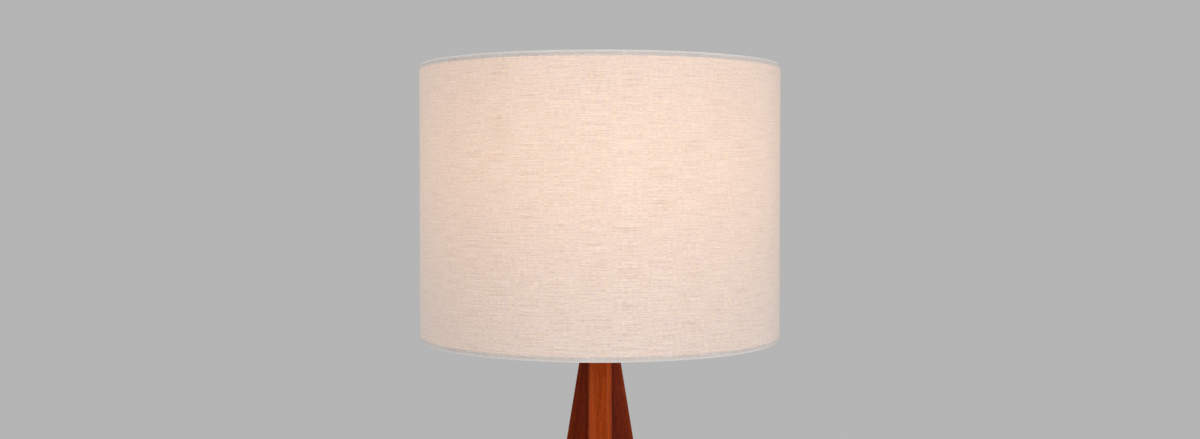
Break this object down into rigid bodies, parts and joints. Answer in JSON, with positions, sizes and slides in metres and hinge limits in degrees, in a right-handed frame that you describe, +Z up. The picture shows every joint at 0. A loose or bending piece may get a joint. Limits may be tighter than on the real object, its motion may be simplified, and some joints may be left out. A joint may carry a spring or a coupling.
{
  "type": "tripod table lamp",
  "caption": "Table lamp with a splayed wooden tripod, a linen drum shade on a harp, and a switched screw lampholder with a glowing bulb.",
  "frame": {"origin": "on the table, under the lamp's axis, at the level of the undersides of the glides", "axes": "+Z up along the lamp's axis, -Y towards the front leg and the switch knob, +X to the right seen from the front"},
  "size_m": [0.356, 0.356, 0.658],
  "materials": {
    "teak": "satin",
    "beech": "matte",
    "nylon": "matte",
    "zinc_steel": "satin",
    "brass": "satin",
    "black_moulding": "satin",
    "brown_moulding": "gloss",
    "insulating_paper": "matte",
    "frosted_glass": "satin",
    "clear_glass": "gloss",
    "filament": "satin",
    "bulb_aluminium": "satin",
    "solder": "matte",
    "white_wire": "satin",
    "shade_sheet": "matte",
    "linen": "matte"
  },
  "bodies": {
    "lamp_base": {"leg_front": "teak", "leg_rear_left": "teak", "leg_rear_right": "teak", "leg_dowels": "beech", "glide_front": "nylon", "glide_rear_left": "nylon", "glide_rear_right": "nylon", "glide_nails": "zinc_steel", "lamp_pipe": "zinc_steel", "core_washer": "zinc_steel", "lock_nut": "brass", "cord_bushing": "black_moulding", "top_cap": "brass", "neck": "brass", "harp_saddle": "brass", "harp": "brass", "harp_stud": "brass", "holder_cap": "brass", "set_screw": "zinc_steel", "holder_shell": "brass", "holder_paper": "insulating_paper", "holder_interior": "black_moulding", "screw_shell": "brass", "centre_contact": "brass", "terminal_screws": "zinc_steel"},
    "switch": {"switch_stem": "zinc_steel", "switch_knob": "brown_moulding"},
    "shade": {"shade_top_ring": "white_wire", "shade_bottom_ring": "white_wire", "spider_washer": "white_wire", "spider_arms": "white_wire", "shade_liner": "shade_sheet", "shade_fabric": "linen"},
    "sleeve_left": {"harp_sleeve_left": "brass"},
    "sleeve_right": {"harp_sleeve_right": "brass"},
    "finial_bush": {"finial_insert": "brass"},
    "finial": {"finial": "brass"},
    "bulb_contact": {"bulb_tip": "solder"},
    "bulb": {"bulb_globe": "frosted_glass", "bulb_base": "bulb_aluminium", "bulb_insulator": "black_moulding", "bulb_mount": "clear_glass", "bulb_filament": "filament"}
  },
  "joints": [
    {"name": "switch_turn", "type": "hinge", "parent": "lamp_base", "child": "switch", "pos_m": [0, -0.02, 0.4646], "axis": [0, -1, 0], "continuous": true},
    {"name": "shade_swivel", "type": "hinge", "parent": "lamp_base", "child": "shade", "pos_m": [0, 0, 0.636], "axis": [0, 0, 1], "continuous": true},
    {"name": "sleeve_left_lift", "type": "slide", "parent": "lamp_base", "child": "sleeve_left", "axis": [0, 0, 1], "range_m": [0, 0.015]},
    {"name": "sleeve_right_lift", "type": "slide", "parent": "lamp_base", "child": "sleeve_right", "axis": [0, 0, 1], "range_m": [0, 0.015]},
    {"name": "finial_rise", "type": "slide", "parent": "lamp_base", "child": "finial_bush", "axis": [0, 0, 1], "range_m": [0, 0.00565]},
    {"name": "finial_turn", "type": "hinge", "parent": "finial_bush", "child": "finial", "pos_m": [0, 0, 0.648], "axis": [0, 0, 1], "range_deg": [0, 2160]},
    {"name": "bulb_rise", "type": "slide", "parent": "lamp_base", "child": "bulb_contact", "axis": [0, 0, 1], "range_m": [0, 0.0091]},
    {"name": "bulb_turn", "type": "hinge", "parent": "bulb_contact", "child": "bulb", "pos_m": [0, 0, 0.53], "axis": [0, 0, 1], "range_deg": [0, 900]}
  ],
  "couplings": [
    {"joint": "finial_rise", "follows": "finial_turn", "m_per_rad": 0.00014961},
    {"joint": "bulb_rise", "follows": "bulb_turn", "m_per_rad": 0.00057757}
  ]
}
